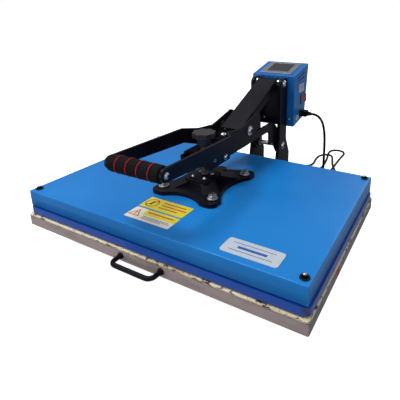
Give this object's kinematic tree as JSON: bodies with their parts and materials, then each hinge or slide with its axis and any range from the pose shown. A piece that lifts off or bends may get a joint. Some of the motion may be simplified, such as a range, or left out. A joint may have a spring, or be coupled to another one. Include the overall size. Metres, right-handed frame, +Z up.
{
  "type": "heat press",
  "caption": "Swing-lever flat heat press: heated upper platen on a lift arm and toggle lever over a padded drawer platen, with a rear control box and mains lead.",
  "frame": {"origin": "on the table, under the middle of the press (its width and depth without the mains lead)", "axes": "+X to the operator's right, +Y from the operator to the rear, +Z up"},
  "size_m": [0.608, 0.961, 0.3547],
  "materials": {
    "black_powder": "satin black powder coat, fine orange peel",
    "arm_paint": "dark grey powder coat, semi gloss",
    "blue_paint": "glossy blue powder coat",
    "plate_paint": "dark blue anodised edge",
    "taupe_paint": "matte taupe coat, worn",
    "silicone_pad": "matte silicone foam, scorched edge",
    "zinc_steel": "bright zinc plate",
    "bare_steel": "turned steel, light oil",
    "bolt_chrome": "polished",
    "rubber_black": "matte",
    "foam_black": "closed-cell foam, fine pores",
    "ring_red": "satin",
    "knob_plastic": "fine spark-eroded texture",
    "element_sheath": "heat tinted",
    "insulation_wool": "compressed ceramic fibre",
    "label_yellow": "laminated",
    "label_grey": "laminated",
    "board_green": "solder resist",
    "bezel_silver": "brushed",
    "screen_glass": "gloss",
    "switch_black": "gloss",
    "rocker_red": "gloss",
    "cord_black": "satin PVC"
  },
  "bodies": {
    "base": {"base_rail_left": "black_powder", "base_rail_right": "black_powder", "base_cross_tubes": "black_powder", "base_plate": "black_powder", "rubber_feet": "rubber_black", "post_left": "black_powder", "post_right": "black_powder", "post_bridge": "black_powder", "lower_shaft": "bare_steel", "upper_shaft": "bare_steel", "shaft_bolts": "bolt_chrome", "shaft_spacers": "bare_steel", "slide_outer": "zinc_steel", "box_shell": "blue_paint", "box_back": "blue_paint", "box_screws": "zinc_steel", "control_board": "board_green", "display_bezel": "bezel_silver", "display_screen": "screen_glass", "switch_bezel": "switch_black", "inlet": "switch_black", "cord_connector": "cord_black", "mains_cord": "cord_black", "mains_plug": "cord_black"},
    "slide_members": {"slide_middle": "zinc_steel"},
    "drawer": {"slide_inner": "zinc_steel", "lower_platen": "taupe_paint", "platen_pad": "silicone_pad", "pull_handle": "black_powder", "pull_screws": "zinc_steel"},
    "lift_arm": {"lift_plate_left": "black_powder", "lift_plate_right": "black_powder", "nut_block": "black_powder", "stop_plate": "black_powder", "lift_bolts": "bolt_chrome", "lever_bolts": "bolt_chrome"},
    "upper_platen": {"spider_bracket": "black_powder", "spider_studs": "bare_steel", "spider_nuts": "zinc_steel", "hub_plate": "black_powder", "hub_screws": "zinc_steel", "top_cover": "blue_paint", "cover_studs": "bare_steel", "cover_washers": "rubber_black", "cover_nuts": "zinc_steel", "heating_plate": "plate_paint", "heating_element": "element_sheath", "insulation": "insulation_wool", "safety_labels": "label_yellow", "name_plate": "label_grey"},
    "pressure_spindle": {"pressure_screw": "bare_steel", "pressure_knob": "knob_plastic"},
    "main_arm": {"main_arm": "arm_paint"},
    "lever": {"lever_bar_left": "black_powder", "lever_bar_right": "black_powder", "grip_tube": "bare_steel", "foam_grip": "foam_black", "grip_rings": "ring_red", "grip_bolts": "bolt_chrome"},
    "power_rocker": {"rocker": "rocker_red"}
  },
  "joints": [
    {"name": "lift_pivot", "type": "hinge", "parent": "base", "child": "lift_arm", "pos_m": [0, 0.205, 0.147], "axis": [-1, 0, 0], "range_deg": [0, 18]},
    {"name": "lever_pivot", "type": "hinge", "parent": "lift_arm", "child": "lever", "pos_m": [0, 0.024, 0.238], "axis": [-1, 0, 0], "range_deg": [0, 84]},
    {"name": "arm_pivot", "type": "hinge", "parent": "base", "child": "main_arm", "pos_m": [0, 0.205, 0.316], "axis": [1, 0, 0], "range_deg": [0, 4.5]},
    {"name": "pressure_turn", "type": "hinge", "parent": "upper_platen", "child": "pressure_spindle", "pos_m": [0, -0.101, 0.2], "axis": [0, 0, 1], "range_deg": [-185, 1085]},
    {"name": "platen_height", "type": "slide", "parent": "lift_arm", "child": "upper_platen", "axis": [0, 0, 1], "range_m": [-0.001, 0.006]},
    {"name": "drawer_slide", "type": "slide", "parent": "base", "child": "drawer", "axis": [0, -1, 0], "range_m": [0, 0.3]},
    {"name": "slide_extension", "type": "slide", "parent": "base", "child": "slide_members", "axis": [0, -1, 0], "range_m": [0, 0.151]},
    {"name": "power_switch", "type": "hinge", "parent": "base", "child": "power_rocker", "pos_m": [0.06, 0.299, 0.262], "axis": [0, 0, 1], "range_deg": [0, 16]}
  ],
  "couplings": [
    {"joint": "lever_pivot", "follows": "lift_pivot", "ratio": 4.6333},
    {"joint": "arm_pivot", "follows": "lift_pivot", "ratio": 0.2389},
    {"joint": "pressure_turn", "follows": "platen_height", "rad_per_m": 3141.6},
    {"joint": "slide_extension", "follows": "drawer_slide", "ratio": 0.5}
  ]
}
